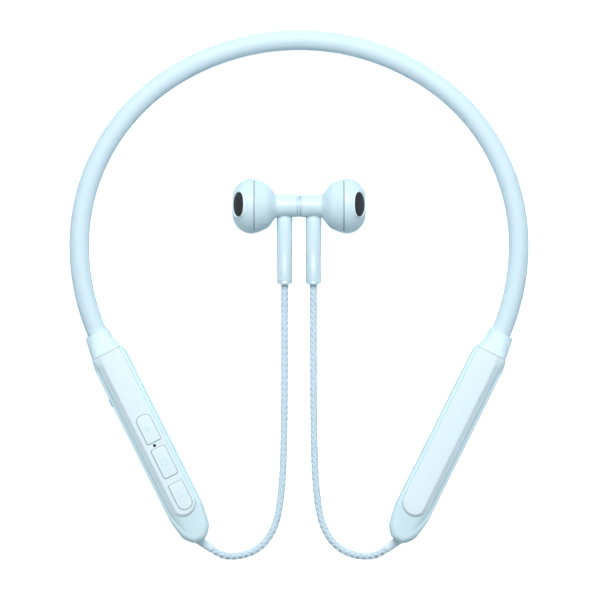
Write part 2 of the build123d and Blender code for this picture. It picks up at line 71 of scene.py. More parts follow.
# The right-hand cord's route, from the strain relief to the earbud's stem.
CORD_ROUTE = (
    (26.22, -78.82, 3.0), (24.45, -80.09, 2.69), (21.5, -81.1, 2.2), (17.9, -81.0, 1.6),
    (13.3, -79.6, 1.15), (9.3, -76.1, 1.07), (6.6, -70.6, 1.07), (5.2, -62.1, 1.07),
    (4.4, -46.8, 1.07), (4.33, -3.86, 1.07), (4.33, 0.77, 2.27),
)


# ---- meshes ---------------------------------------------------------------------------------------
SHARP_ANGLE = math.radians(38)
DOUBLED = 1e-7  # in metres


def new_mesh(name, verts_mm, faces):
    """A smooth mesh object from points in millimetres."""
    mesh = bpy.data.meshes.new(name)
    mesh.from_pydata([Vector(v) * MM for v in verts_mm], [], faces)
    mesh.validate()
    mesh.update()
    mesh.shade_smooth()
    piece = bpy.data.objects.new(name, mesh)
    bpy.context.scene.collection.objects.link(piece)
    return piece


def tidy_mesh(piece, merge=False):
    """All faces look outwards, and edges are sharp only at real corners. merge joins doubled points."""
    work = bmesh.new()
    work.from_mesh(piece.data)
    if merge:
        bmesh.ops.remove_doubles(work, verts=work.verts, dist=DOUBLED)
    bmesh.ops.recalc_face_normals(work, faces=work.faces)
    work.to_mesh(piece.data)
    work.free()
    piece.data.shade_smooth()
    piece.data.set_sharp_from_angle(angle=SHARP_ANGLE)


def skin_faces(rings, count, closed=False):
    """Faces between closed rings of count matched points; closed joins the last ring to the first."""
    faces = []
    for i in range(rings if closed else rings - 1):
        low, high = i * count, (i + 1) % rings * count
        for j in range(count):
            k = (j + 1) % count
            faces.append((low + j, low + k, high + k, high + j))
    return faces


def end_faces(total, count):
    """The faces that close the first and the last ring of count points, out of a total."""
    return [tuple(range(count)), tuple(range(total - 1, total - count - 1, -1))]


def ringed(name, loops, first=True, last=True):
    """A skin through closed loops of matched points; first and last say which end loops get a face."""
    count = len(loops[0])
    verts = [p for loop in loops for p in loop]
    ends = [face for face, wanted in zip(end_faces(len(verts), count), (first, last)) if wanted]
    piece = new_mesh(name, verts, ends + skin_faces(len(loops), count))
    tidy_mesh(piece, merge=True)
    return piece


def ring_frames(points):
    """Parallel-transported (point, across, up) frames along a line of points."""
    tangents = []
    for i in range(len(points)):
        before = points[max(i - 1, 0)]
        after = points[min(i + 1, len(points) - 1)]
        tangents.append((after - before).normalized())
    up = Vector((0, 0, 1))
    frames = []
    for point, tangent in zip(points, tangents):
        across = tangent.cross(up).normalized()
        up = across.cross(tangent).normalized()
        frames.append((point, across, up))
    return frames


def tube(name, points, radius, sides, capped=False):
    """A tube along points. radius is a number, or a function of (point's number, angle round)."""
    frames = ring_frames(points)
    verts = []
    for i, (point, across, up) in enumerate(frames):
        for j in range(sides):
            angle = 2 * math.pi * j / sides
            r = radius(i, angle) if callable(radius) else radius
            verts.append(point + across * (r * math.cos(angle)) + up * (r * math.sin(angle)))
    faces = skin_faces(len(frames), sides)
    if capped:
        faces += end_faces(len(verts), sides)
    return new_mesh(name, verts, faces)


def cut(piece, tools):
    """Cut the tools out of a piece, and remove them."""
    for tool in tools:
        change = piece.modifiers.new("cut", "BOOLEAN")
        change.operation = "DIFFERENCE"
        change.solver = "EXACT"
        change.object = tool
    bpy.context.view_layer.update()
    shape = bpy.data.meshes.new_from_object(piece.evaluated_get(bpy.context.evaluated_depsgraph_get()))
    piece.modifiers.clear()
    piece.data = shape
    for tool in tools:
        bpy.data.objects.remove(tool)
    tidy_mesh(piece)


# ---- lines ----------------------------------------------------------------------------------------
def mirrored(points, side):
    """The right side's points, or their mirror image for the left side."""
    return [Vector((p[0] * SIDES[side], p[1], p[2])) for p in points]


def smooth(value, low, high):
    """0 below low, 1 above high, and an even turn between them."""
    part = min(max((value - low) / (high - low), 0.0), 1.0)
    return part * part * (3 - 2 * part)


def run_along(line):
    """The distance along a line at each of its points."""
    run = [0.0]
    for a, b in zip(line, line[1:]):
        run.append(run[-1] + (b - a).length)
    return run


def spaced(line, count):
    """count + 1 points at even distances along a flat or a spatial line."""
    run = run_along(line)
    wanted = np.linspace(0, run[-1], count + 1)
    columns = [np.interp(wanted, run, [p[axis] for p in line]) for axis in range(len(line[0]))]
    return [Vector(p) for p in zip(*columns)]


def circle(radius, count, centre=(0, 0)):
    """The points of a flat circle."""
    angles = np.linspace(0, 2 * math.pi, count + 1)[:-1]
    return [(centre[0] + radius * math.cos(a), centre[1] + radius * math.sin(a)) for a in angles]


def rounded_line(corners, radii, steps=8):
    """A flat line through the corners, with an arc of the given radius at each inner one."""
    line = [Vector(corners[0])]
    for before, corner, after, radius in zip(corners, corners[1:], corners[2:], radii):
        before, corner, after = Vector(before), Vector(corner), Vector(after)
        back, ahead = (before - corner).normalized(), (after - corner).normalized()
        half = back.angle(ahead) / 2
        middle = corner + (back + ahead).normalized() * (radius / math.sin(half))
        start = corner + back * (radius / math.tan(half)) - middle
        end = corner + ahead * (radius / math.tan(half)) - middle
        turn = start.angle_signed(end)
        for step in range(steps + 1):
            part = -turn * step / steps
            line.append(middle + Vector((
                start.x * math.cos(part) - start.y * math.sin(part),
                start.x * math.sin(part) + start.y * math.cos(part),
            )))
    line.append(Vector(corners[-1]))
    return line


def rounded_box(s, w, length, width, radii):
    """A closed outline with a radius at each corner: two at the low end, then two at the high end."""
    low_s, high_s = s - length / 2, s + length / 2
    low_w, high_w = w - width / 2, w + width / 2
    corners = [(low_s, low_w), (low_s, high_w), (high_s, high_w), (high_s, low_w)]
    outline = []
    for i, radius in enumerate(radii):
        before, corner, after = corners[i - 1], corners[i], corners[(i + 1) % 4]
        outline += rounded_line([before, corner, after], [radius])[1:-1]
    return outline


def band_line():
    """Points along the right half of the neckband's centreline, from the middle of the back."""
    degrees_apart = 1.5
    corner, heading = Vector((0, 0)), 0.0
    flat = [corner.copy()]
    for radius, turn in BAND_ARCS:
        count = max(2, round(turn / degrees_apart))
        part = math.radians(turn) / count
        chord = 2 * radius * math.sin(part / 2)
        for i in range(count):
            corner = corner + Vector((math.cos(heading - part / 2), math.sin(heading - part / 2))) * chord
            heading -= part
            flat.append(corner.copy())
    tilt = math.asin((POD_MID_Z - SLEEVE_R) / -corner.y)
    return [
        Vector((p.x, BAND_BACK_Y + p.y * math.cos(tilt), SLEEVE_R - p.y * math.sin(tilt))) for p in flat
    ]


# ---- materials ------------------------------------------------------------------------------------
COLOUR_CHANGE = 0.03  # how much darker the darkest patches are
PATCH_SCALE = 60.0
GRAIN_SCALE = 2500.0
GRAIN_DEPTH = 0.00005


def srgb(r, g, b):
    """A linear colour from 0 to 255 screen values."""
    def linear(value):
        value /= 255
        return value / 12.92 if value <= 0.04045 else ((value + 0.055) / 1.055) ** 2.4
    return linear(r), linear(g), linear(b), 1.0


def material(name, colour, roughness, grain=0.0, **sockets):
    """A principled material with faint uneven colour and a fine grain in its surface."""
    made = bpy.data.materials.new(name)
    made.use_nodes = True
    tree = made.node_tree
    shader = tree.nodes["Principled BSDF"]
    shader.inputs["Roughness"].default_value = roughness
    for key, value in sockets.items():
        shader.inputs[key].default_value = value
    place = tree.nodes.new("ShaderNodeTexCoord")
    cloud = tree.nodes.new("ShaderNodeTexNoise")
    cloud.inputs["Scale"].default_value = PATCH_SCALE
    cloud.inputs["Detail"].default_value = 3.0
    tree.links.new(place.outputs["Object"], cloud.inputs["Vector"])
    mix = tree.nodes.new("ShaderNodeMix")
    mix.data_type = "RGBA"
    mix.inputs["A"].default_value = colour
    mix.inputs["B"].default_value = [c * (1 - COLOUR_CHANGE) for c in colour[:3]] + [1.0]
    tree.links.new(cloud.outputs["Fac"], mix.inputs["Factor"])
    tree.links.new(mix.outputs["Result"], shader.inputs["Base Color"])
    if grain:
        speck = tree.nodes.new("ShaderNodeTexNoise")
        speck.inputs["Scale"].default_value = GRAIN_SCALE
        speck.inputs["Detail"].default_value = 2.0
        tree.links.new(place.outputs["Object"], speck.inputs["Vector"])
        bump = tree.nodes.new("ShaderNodeBump")
        bump.inputs["Strength"].default_value = grain
        bump.inputs["Distance"].default_value = GRAIN_DEPTH
        tree.links.new(speck.outputs["Fac"], bump.inputs["Height"])
        tree.links.new(bump.outputs["Normal"], shader.inputs["Normal"])
    return made


MATERIALS = {
    "band_silicone": material("band_silicone", srgb(210, 232, 242), 0.6, grain=0.15),
    "spring_wire": material("spring_wire", srgb(150, 152, 155), 0.3, Metallic=1.0),
    "wire_jacket": material("wire_jacket", srgb(40, 40, 42), 0.5),
    "pod_plastic": material("pod_plastic", srgb(216, 240, 247), 0.45, grain=0.1),
    "deck_plastic": material("deck_plastic", srgb(228, 244, 250), 0.4, grain=0.08),
    "key_plastic": material("key_plastic", srgb(229, 245, 250), 0.4, grain=0.08),
    "soft_rubber": material("soft_rubber", srgb(196, 226, 240), 0.6, grain=0.15),
    "circuit_board": material("circuit_board", srgb(20, 90, 55), 0.4),
    "switch_metal": material("switch_metal", srgb(190, 192, 195), 0.3, Metallic=1.0),
    "port_plastic": material("port_plastic", srgb(25, 25, 25), 0.5),
    "battery_wrap": material("battery_wrap", srgb(200, 202, 205), 0.35, Metallic=1.0),
    "foam": material("foam", srgb(35, 35, 36), 0.95, grain=0.5),
    "braid": material("braid", srgb(205, 225, 236), 0.7),
    "relief_rubber": material("relief_rubber", srgb(226, 245, 251), 0.42, grain=0.1),
    "head_plastic": material("head_plastic", srgb(214, 236, 244), 0.36, grain=0.08),
    "grille_mesh": material("grille_mesh", srgb(62, 66, 69), 0.5, Metallic=0.6),
    "magnet_metal": material("magnet_metal", srgb(196, 219, 231), 0.5, Metallic=0.3),
    "basket_plastic": material("basket_plastic", srgb(30, 30, 30), 0.5),
    "coil_copper": material("coil_copper", srgb(200, 120, 70), 0.35, Metallic=1.0),
    "cone_film": material("cone_film", srgb(170, 172, 175), 0.4),
    "stem_plastic": material("stem_plastic", srgb(210, 232, 241), 0.25, IOR=1.9),
    "ring_metal": material("ring_metal", srgb(215, 236, 244), 0.22, Metallic=0.3),
}
# A darker blue for the floor of the earbud's seam groove: painted shade, where the narrow gap between the two
# shells is in shadow.
SEAM_SHADE = material("seam_shade", srgb(120, 142, 158), 0.7)


def dress(piece, slot):
    """Give a new piece its material and name the record's slot."""
    piece.data.materials.clear()
    piece.data.materials.append(MATERIALS[slot])
    return piece


def fit(piece, slot, body, node=None):
    """Dress a piece that rides on a body, in the place of a CAD node where it has one."""
    dress(piece, slot)
    if node:
        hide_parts(node)
    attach(piece, body)


for part in frame["record"]["subparts"]:
    mesh_slots = nodes[part["node"]].data.materials
    mesh_slots.clear()
    mesh_slots.append(MATERIALS[part["material_slot"]])


def smooth_line(name, route):
    """Points along the smooth curve that a route's points control."""
    curve = bpy.data.curves.new(name, "CURVE")
    curve.dimensions = "3D"
    curve.resolution_u = 64
    spline = curve.splines.new("NURBS")
    spline.points.add(len(route) - 1)
    for control, point in zip(spline.points, route):
        control.co = (*point, 1)
    spline.order_u = 3
    spline.use_endpoint_u = True
    holder = bpy.data.objects.new(name, curve)
    bpy.context.scene.collection.objects.link(holder)
    bpy.context.view_layer.update()
    line = bpy.data.meshes.new_from_object(holder)
    points = [v.co.copy() for v in line.vertices]
    bpy.data.objects.remove(holder)
    bpy.data.curves.remove(curve)
    bpy.data.meshes.remove(line)
    return points


def braided_cord(side):
    """The cord with its woven surface, as a mesh tube that bends between the pod and the earbud."""
    line = smooth_line(f"{side}_route", mirrored(CORD_ROUTE, side))
    step, strands, pitch = 0.1, 4, 7.2
    proud, relief, roundness = 0.08, 0.28, 0.6
    points = spaced(line, round(run_along(line)[-1] / step))

    def woven(i, angle):
        turn = 2 * math.pi * i * step / pitch
        one = math.cos(strands * angle / 2 + turn * strands / 2)
        other = math.cos(strands * angle / 2 - turn * strands / 2)
        return CORD_D / 2 + proud - relief * (1 - abs(one * other) ** roundness)

    cord = dress(tube(f"{side}_braided_cord", points, woven, sides=48, capped=True), "braid")
    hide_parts(f"{side}_cord")
    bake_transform(cord)


# ---- neckband -------------------------------------------------------------------------------------
BAND_FIRST_STEP = 0.1
WIRE_R, WIRE_RISE = 0.6, 0.85
CABLE_R, CABLE_RISE = 0.75, -0.75


def bend_with_arm(piece):
    """A piece of the neckband, with its place baked into its mesh."""
    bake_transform(piece)


def neckband_half(side):
    """Half of the silicone tube, with its wire and its cable inside."""
    line = mirrored(band_line(), side)
    # A short straight step comes first, so that both halves meet square at the middle.
    line.insert(1, line[0] + Vector((SIDES[side] * BAND_FIRST_STEP, 0, 0)))
    raised = [p + Vector((0, 0, WIRE_RISE)) for p in line]
    lowered = [p + Vector((0, 0, CABLE_RISE)) for p in line]
    sleeve = dress(tube(f"{side}_band_sleeve", line, SLEEVE_R, sides=48), "band_silicone")
    wire = dress(tube(f"{side}_band_wire", raised, WIRE_R, sides=12), "spring_wire")
    cable = dress(tube(f"{side}_band_cable", lowered, CABLE_R, sides=12), "wire_jacket")
    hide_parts("neckband_sleeve")
    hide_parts("memory_wire")
    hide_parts("wire_harness")
    for piece in (sleeve, wire, cable):
        bend_with_arm(piece)


# ---- pods: points are (s along the axis from the seam, w outwards from it, z up) ------------------
POD_X = Vector((math.cos(BAND_TURN), -math.sin(BAND_TURN), 0))
POD_Y = Vector((math.sin(BAND_TURN), math.cos(BAND_TURN), 0))
BAND_END = band_line()[-1]
SEAM_POINT = Vector((BAND_END.x, BAND_END.y, 0)) + POD_X * (COLLAR_LENGTH - SOCKET_DEPTH)

POD_LENGTH = 62.95
POD_HALF_WIDTH = 5.5
POD_HEIGHT = 10.6
SEAM_INNER, SEAM_OUTER = 5.1, 4.85  # half-widths at the seam, which widen to the pod's own
INNER_EASE, OUTER_EASE = 3.2, 4.2  # over these lengths
BOTTOM_R = 2.6
POD_WALL = 1.3
CAVITY_TOP = 6.6

DECK_INNER, DECK_OUTER, DECK_END = -4.45, 3.85, 54.3
DECK_R = (DECK_OUTER - DECK_INNER) / 2
DECK_MID = (DECK_INNER + DECK_OUTER) / 2
DECK_SEAM_STEP = 0.35  # the deck's inner edge is so much further out at the seam
DECK_FLOOR = 9.4
DECK_SUNK = 0.25
DECK_STEP = (1.0, 0.9)  # the plate's underside and the step above it, in from its outline
DECK_GAP = 0.03
SEAT_GAP = 0.05  # between the deck's outline and the body's opening for it
LEDGE_IN, LEDGE_DOWN = 0.8, 0.6

NOSE_START = DECK_END - DECK_R
NOSE_BEND = 53.8  # where the sides begin to draw in
NOSE_CORNER = (2.95, 1.05)  # the corner next to the tip: back from the tip, and in from the side
NOSE_TIP_IN = 3.6  # from the side to where the tip is flat
NOSE_RADII = (15, 5, 3, 3, 5, 15)
NOSE_FOCUS = 58.0  # the nose's outline is drawn in towards this point of the axis

# Where the cross-sections are: close together near the seam, and round the nose in even steps.
SEAM_ZONE = 6
SIDE_STOPS = np.concatenate([np.linspace(0, SEAM_ZONE, 17), np.linspace(SEAM_ZONE, NOSE_START, 40)[1:]])
NOSE_STEPS = 72

# How many points each curve of a cross-section has.
BOTTOM_POINTS, SHOULDER_POINTS, SLOPE_POINTS, EDGE_POINTS = 8, 9, 9, 14

# Over which part of the way round the nose, or of the pod's length, one cross-section turns to the next.
INNER_FADE, OUTER_FADE = (-0.02, 0.34), (0.62, 1.02)
SEAM_FADE = (0.5, 4.5)


def from_pod(s, w, z, side):
    """A point given along, outwards from and above a pod's axis."""
    point = SEAM_POINT + POD_X * s + POD_Y * w
    return Vector((point.x * SIDES[side], point.y, z))


def eased(s, at_seam, full, length):
    """A value that starts as at_seam and settles to full within a length along the pod."""
    return full + (at_seam - full) * (1 - min(s / length, 1)) ** 2


def pod_edges(s):
    """The pod's inner and outer edge."""
    inner = -eased(s, SEAM_INNER, POD_HALF_WIDTH, INNER_EASE)
    return inner, eased(s, SEAM_OUTER, POD_HALF_WIDTH, OUTER_EASE)


def pod_loop():
    """The pod's outline from the seam's inner corner round the nose to its outer corner."""
    half = POD_HALF_WIDTH
    nose = [
        (NOSE_START, -half), (NOSE_BEND, -half),
        (POD_LENGTH - NOSE_CORNER[0], NOSE_CORNER[1] - half), (POD_LENGTH, NOSE_TIP_IN - half),
    ]
    nose += [(x, -y) for x, y in reversed(nose)]
    nose_line = spaced(rounded_line(nose, NOSE_RADII), NOSE_STEPS)
    inner = [Vector((s, pod_edges(s)[0])) for s in SIDE_STOPS[:-1]]
    outer = [Vector((s, pod_edges(s)[1])) for s in SIDE_STOPS[-2::-1]]
    return inner + nose_line + outer


def deck_loop(inset):
    """The deck's outline, drawn in by inset and matched point by point with the pod's."""
    radius = DECK_R - inset
    inner = [
        Vector((s, inset + eased(s, DECK_INNER + DECK_SEAM_STEP, DECK_INNER, INNER_EASE)))
        for s in SIDE_STOPS[:-1]
    ]
    end = []
    for step in range(NOSE_STEPS + 1):
        angle = math.pi * step / NOSE_STEPS - math.pi / 2
        end.append(Vector((NOSE_START + radius * math.cos(angle), DECK_MID + radius * math.sin(angle))))
    outer = [Vector((s, DECK_OUTER - inset)) for s in SIDE_STOPS[-2::-1]]
    return inner + end + outer


def pod_drawn_in(distances):
    """The pod's outline drawn in towards its axis, each point by its own distance."""
    drawn = []
    for point, by in zip(POD_LOOP, distances):
        away = point - Vector((min(point.x, NOSE_FOCUS), 0))
        drawn.append(point - away.normalized() * by)
    return drawn


def deck_drawn_in(distances):
    """The deck's outline drawn in towards its middle line, each point by its own distance."""
    drawn = []
    for point, by in zip(deck_loop(DECK_GAP), distances):
        away = point - Vector((min(point.x, NOSE_START), DECK_MID))
        drawn.append(point - away.normalized() * by)
    return drawn


def region_weights():
    """How much of each cross-section shape applies at each point: inner, nose, outer, seam corner."""
    weights = []
    for j, point in enumerate(POD_LOOP):
        round_nose = (j - len(SIDE_STOPS) + 1) / NOSE_STEPS
        inner = 1 - smooth(round_nose, *INNER_FADE)
        outer = smooth(round_nose, *OUTER_FADE)
        seam = outer * (1 - smooth(point.x, *SEAM_FADE))
        weights.append((inner, 1 - inner - outer, outer - seam, seam))
    return weights


def by_region(inner, nose, outer, seam):
    """One value for each point of an outline, from the value in each region."""
    return [a * inner + b * nose + c * outer + d * seam for a, b, c, d in WEIGHTS]


def level(value):
    """The same value for each point of an outline."""
    return [value] * len(POD_LOOP)


def row(outline, heights):
    """An outline's points with their heights."""
    return [(p.x, p.y, z) for p, z in zip(outline, heights)]


POD_LOOP = pod_loop()
WEIGHTS = region_weights()

# Heights, widths and curves of the cross-section: inner side, nose, outer side, seam corner.
SHOULDER_START = by_region(7.6, 6.9, 7.6, 8.1)
SHOULDER_IN = by_region(0.95, 2.0, 0.55, 0.96)
SHOULDER_UP = by_region(1.55, 2.2, 0.55, 1.83)
SLOPE_EASE = by_region(1.0, 1.15, 1.2, 1.0)
DECK_FOOT = by_region(9.35, 9.75, 9.30, 9.95)
EDGE_WIDTH = by_region(0.42, 0.95, 1.6, 2.2)
EDGE_SLOPED = by_region(0, 0.35, 1, 1)


def loft_rows(name, rows, side):
    """A closed solid skin through rows of matched points; its seam end is closed by one face."""
    count = len(rows[0])
    verts = [from_pod(*p, side) for points in rows for p in points]
    faces = []
    for i in range(len(rows) - 1):
        for j in range(count - 1):
            a, b = i * count + j, (i + 1) * count + j
            faces.append((a, a + 1, b + 1, b))
    faces.append(tuple(range(count - 1, -1, -1)))
    top = (len(rows) - 1) * count
    faces.append(tuple(range(top, top + count)))
    inner_end = [i * count for i in range(len(rows))]
    outer_end = [i * count + count - 1 for i in range(len(rows))]
    faces.append(tuple(inner_end + outer_end[::-1]))
    piece = new_mesh(name, verts, faces)
    tidy_mesh(piece)
    return piece


def base_rows():
    """The pod's body: rounded bottom, straight sides, round shoulder, slope up to the deck, hollow."""
    rows = []
    for angle in np.linspace(0, math.pi / 2, BOTTOM_POINTS):
        drawn = pod_drawn_in(level(BOTTOM_R * (1 - math.sin(angle))))
        rows.append(row(drawn, level(BOTTOM_R * (1 - math.cos(angle)))))
    rows.append(row(POD_LOOP, [0.5 * (z + BOTTOM_R) for z in SHOULDER_START]))
    for angle in np.linspace(0, math.pi / 2, SHOULDER_POINTS):
        shoulder = pod_drawn_in([d * (1 - math.cos(angle)) for d in SHOULDER_IN])
        rows.append(row(shoulder, [z + h * math.sin(angle) for z, h in zip(SHOULDER_START, SHOULDER_UP)]))
    shoulder_top = [z + h for z, h in zip(SHOULDER_START, SHOULDER_UP)]
    foot = deck_loop(-SEAT_GAP)
    for part in np.linspace(0, 1, SLOPE_POINTS)[1:]:
        between = [a.lerp(b, part) for a, b in zip(shoulder, foot)]
        heights = [a + (b - a) * part ** power for a, b, power in zip(shoulder_top, DECK_FOOT, SLOPE_EASE)]
        rows.append(row(between, heights))
    rows.append(row(deck_loop(LEDGE_IN), [z - LEDGE_DOWN for z in DECK_FOOT]))
    cavity = pod_drawn_in(level(POD_WALL))
    rows.append(row(cavity, level(CAVITY_TOP)))
    rows.append(row(cavity, level(POD_WALL)))
    return rows


def edge_slope(part):
    """The deck's outer edge as (across, up) fractions: a straight slope that turns quickly to the flat."""
    straight, bend, pull, top = 0.5, Vector((0.66, 0.8)), Vector((0.83, 1.0)), Vector((1.0, 1.0))
    if part <= straight:
        return bend * (part / straight)
    t = (part - straight) / (1 - straight)
    return bend * (1 - t) ** 2 + pull * (2 * t * (1 - t)) + top * t ** 2


def cover_rows():
    """The raised deck: steep on the inner side, rolled off wide on the outer side."""
    sunk = [z - DECK_SUNK for z in DECK_FOOT]
    rows = [
        row(deck_loop(DECK_STEP[0]), level(DECK_FLOOR)),
        row(deck_loop(DECK_STEP[1]), sunk),
        row(deck_loop(DECK_GAP), sunk),
        row(deck_loop(DECK_GAP), DECK_FOOT),
    ]
    for part in np.linspace(0, 1, EDGE_POINTS)[1:]:
        turn = part * math.pi / 2
        slope = edge_slope(part)
        distances, heights = [], []
        for width, sloped, foot in zip(EDGE_WIDTH, EDGE_SLOPED, DECK_FOOT):
            across = (1 - math.cos(turn)) * (1 - sloped) + slope[0] * sloped
            up = math.sin(turn) * (1 - sloped) + slope[1] * sloped
            distances.append(width * across)
            heights.append(foot + (POD_HEIGHT - foot) * up)
        rows.append(row(deck_drawn_in(distances), heights))
    return rows


def prism(name, outline, low, high, side, from_wall=False):
    """A straight-sided solid between two heights, or between two distances outwards when from_wall."""
    def place(a, b, c):
        return from_pod(a, c, b, side) if from_wall else from_pod(a, b, c, side)

    count = len(outline)
    verts = [place(p[0], p[1], low) for p in outline] + [place(p[0], p[1], high) for p in outline]
    piece = new_mesh(name, verts, end_faces(2 * count, count) + skin_faces(2, count))
    tidy_mesh(piece)
    return piece


def stacked(name, loops, side, **ends):
    """A skin through flat loops of matched points, each with its height."""
    return ringed(name, [[from_pod(p[0], p[1], z, side) for p in loop] for loop, z in loops], **ends)


# ---- keys and openings of the left pod ------------------------------------------------------------
# Where each key starts and ends along the pod, and its corners' radius at either end.
KEYS = {
    "volume_up": (21.25, 30.25, 2.0, 0.5),
    "play": (31.95, 41.65, 0.9, 0.9),
    "volume_down": (43.65, 52.55, 0.5, 2.2),
}
KEY_CENTRE, KEY_WIDTH, KEY_GAP = -1.05, 4.8, 0.1
KEY_LEAST_R, KEY_EDGE_R = 0.15, 0.32
KEY_BOTTOM, KEY_TOP = 9.1, POD_HEIGHT + 0.1
SIGN_ARM, SIGN_HALF_LINE = 1.1, 0.2
SIGN_RING = (0.75, 1.1)
SIGN_LOW, SIGN_HIGH = KEY_TOP - 0.05, KEY_TOP + 0.08
MIC_PLACE, MIC_R = (31.1, -0.6), 0.47
# The dark mesh sits just under the microphone's opening, where its dark also paints the opening's shade.
MIC_SHADE_MESH_LOW, MIC_SHADE_MESH_HIGH = POD_HEIGHT - 0.5, POD_HEIGHT - 0.2
FLAP_PLACE, FLAP_Z = 18.1, 4.25
CUT_LOW, CUT_HIGH, CUT_PAST_WALL = 8.0, 12.0, 1  # the cutters' ends, clear of the deck and the wall

# Length, height, corner radius and depth from the outer wall.
FLAP_RECESS = (11.7, 5.2, 1.3, 0.7)
PORT_SLOT = (8.6, 2.9, 1.2, 2.5)


def key_outline(name, inset):
    """A key's outline, or its opening's with no inset."""
    start, end, low_r, high_r = KEYS[name]
    radii = [max(r - inset, KEY_LEAST_R) for r in (low_r, low_r, high_r, high_r)]
    return rounded_box((start + end) / 2, KEY_CENTRE, end - start - 2 * inset, KEY_WIDTH - 2 * inset, radii)


def sign_outline(name):
    """A plus for volume_up and a minus for volume_down, round (0, 0)."""
    arm, half = SIGN_ARM, SIGN_HALF_LINE
    if name == "volume_down":
        return [(-half, arm), (half, arm), (half, -arm), (-half, -arm)]
    outline = []
    for a, b in ((1, 1), (1, -1), (-1, -1), (-1, 1)):
        corner = [(a * half, b * arm), (a * half, b * half), (a * arm, b * half)]
        outline += corner if a * b > 0 else corner[::-1]
    return outline


def key_sign(name, side):
    """The low raised sign on a key: plus, ring or minus."""
    middle = (KEYS[name][0] + KEYS[name][1]) / 2
    if name == "play":
        inner, outer = (circle(r, 32, (middle, KEY_CENTRE)) for r in SIGN_RING)
        loops = [
            (inner, SIGN_LOW), (outer, SIGN_LOW), (outer, SIGN_HIGH), (inner, SIGN_HIGH), (inner, SIGN_LOW),
        ]
        return stacked(f"{name}_sign", loops, side, first=False, last=False)
    outline = [(middle + x, KEY_CENTRE + y) for x, y in sign_outline(name)]
    return stacked(f"{name}_sign", [(outline, SIGN_LOW), (outline, SIGN_HIGH)], side)


def key_cap(name, side):
    """A key's cap with its rounded upper edge, and the sign on it."""
    loops = [(key_outline(name, KEY_GAP), KEY_BOTTOM)]
    for angle in np.linspace(0, math.pi / 2, 7):
        inset = KEY_GAP + KEY_EDGE_R * (1 - math.cos(angle))
        loops.append((key_outline(name, inset), KEY_TOP - KEY_EDGE_R * (1 - math.sin(angle))))
    fit(key_sign(name, side), "pod_plastic", name)
    fit(stacked(f"{name}_cap", loops, side), "key_plastic", name, f"{name}_button")


def wall_cutter(opening, side):
    """A cutter for an opening in the outer wall, at the charging port."""
    length, height, radius, depth = opening
    outline = rounded_box(FLAP_PLACE, FLAP_Z, length, height, [radius] * 4)
    return prism("cutter", outline, POD_HALF_WIDTH - depth, POD_HALF_WIDTH + CUT_PAST_WALL, side, True)


def cut_openings(base, cover, side):
    """The openings for keys, microphone and charging port, and the dark mesh in the microphone's: a mesh set
    just under the opening, whose dark is partly its own colour and partly painted shade of the hole.
    """
    port = circle(MIC_R, 24, MIC_PLACE)
    outlines = [key_outline(name, 0.0) for name in KEYS] + [port]
    cut(cover, [prism("cutter", outline, CUT_LOW, CUT_HIGH, side) for outline in outlines])
    # A dark mesh close under the opening: partly the mesh's own colour, partly painted shade in the hole.
    fit(prism("microphone_mesh_and_shade", port, MIC_SHADE_MESH_LOW, MIC_SHADE_MESH_HIGH, side), "foam", f"{side}_arm")
    cut(base, [wall_cutter(opening, side) for opening in (FLAP_RECESS, PORT_SLOT)])


def pod(side):
    """A pod's body and its deck."""
    base = loft_rows(f"{side}_pod_base", base_rows(), side)
    cover = loft_rows(f"{side}_pod_cover", cover_rows(), side)
    if side == "left":
        cut_openings(base, cover, side)
    fit(base, "pod_plastic", f"{side}_arm", f"{side}_base_shell")
    fit(cover, "deck_plastic", f"{side}_arm", f"{side}_top_cover")


# ---- collars ---------------------------------------------------------------------------------------
# Rings at the collar's rounded ends: the distance from the band's end or from the pod, the inner and the
# outer half-width, the height and the corner radius.
COLLAR_SEAM = ((-0.14, 4.74, 4.78, 10.35, 2.4), (-0.07, 4.64, 4.68, 10.2, 2.35))
COLLAR_LIP = (
    (1.2, 2.7, 2.95, 5.4, 2.6),
    (0.02, 3.0, 3.25, 6.4, 2.9),
    (0.0, 3.35, 3.6, 7.1, 3.05),
    (0.1, 3.55, 3.78, 7.5, 3.1),
    (0.3, 3.64, 3.86, 7.65, 3.1),
)

# The widening part between them: the same sizes at its narrow end, and how much each of them grows.
COLLAR_NARROW = (3.68, 3.9, 7.7, 3.1)
COLLAR_GROWTH = (1.12, 0.92, 2.7, -0.7)
COLLAR_SPAN = (-6.0, -0.25)
COLLAR_FLARE = (-3.6, 0.6)  # the inner side widens only here


def collar_ring(s, inner, outer, height, radius):
    """A cross-section of the collar: widths are from the pod's axis."""
    box = rounded_box(0, (outer - inner) / 2, height, inner + outer, [radius] * 4)
    return [(s, p[1], POD_MID_Z + p[0]) for p in box]


def collar(side):
    """The collar that widens from the tube to the pod."""
    rings = [collar_ring(-COLLAR_LENGTH + s, *sizes) for s, *sizes in COLLAR_LIP]
    for s in np.linspace(*COLLAR_SPAN, 20):
        wide = (s + COLLAR_LENGTH) / COLLAR_LENGTH
        parts = (smooth(s, *COLLAR_FLARE), wide, wide ** 1.2, wide)
        sizes = [low + growth * part for low, growth, part in zip(COLLAR_NARROW, COLLAR_GROWTH, parts)]
        rings.append(collar_ring(s, *sizes))
    rings += [collar_ring(*ring) for ring in COLLAR_SEAM]
    loops = [[from_pod(*p, side) for p in ring] for ring in rings]
    piece = ringed(f"{side}_band_collar", loops, first=False)
    fit(piece, "pod_plastic", f"{side}_arm", f"{side}_collar")


# ---- earbuds: profiles are (along the earbud's axis from the joint with the other one, out) -------
EARBUD_CENTRE = Vector((0, EARBUD_Y, HEAD_R))
STEM_WAY = Vector((0, -math.cos(EARBUD_TILT), -math.sin(EARBUD_TILT)))
TURN_STEPS = 96

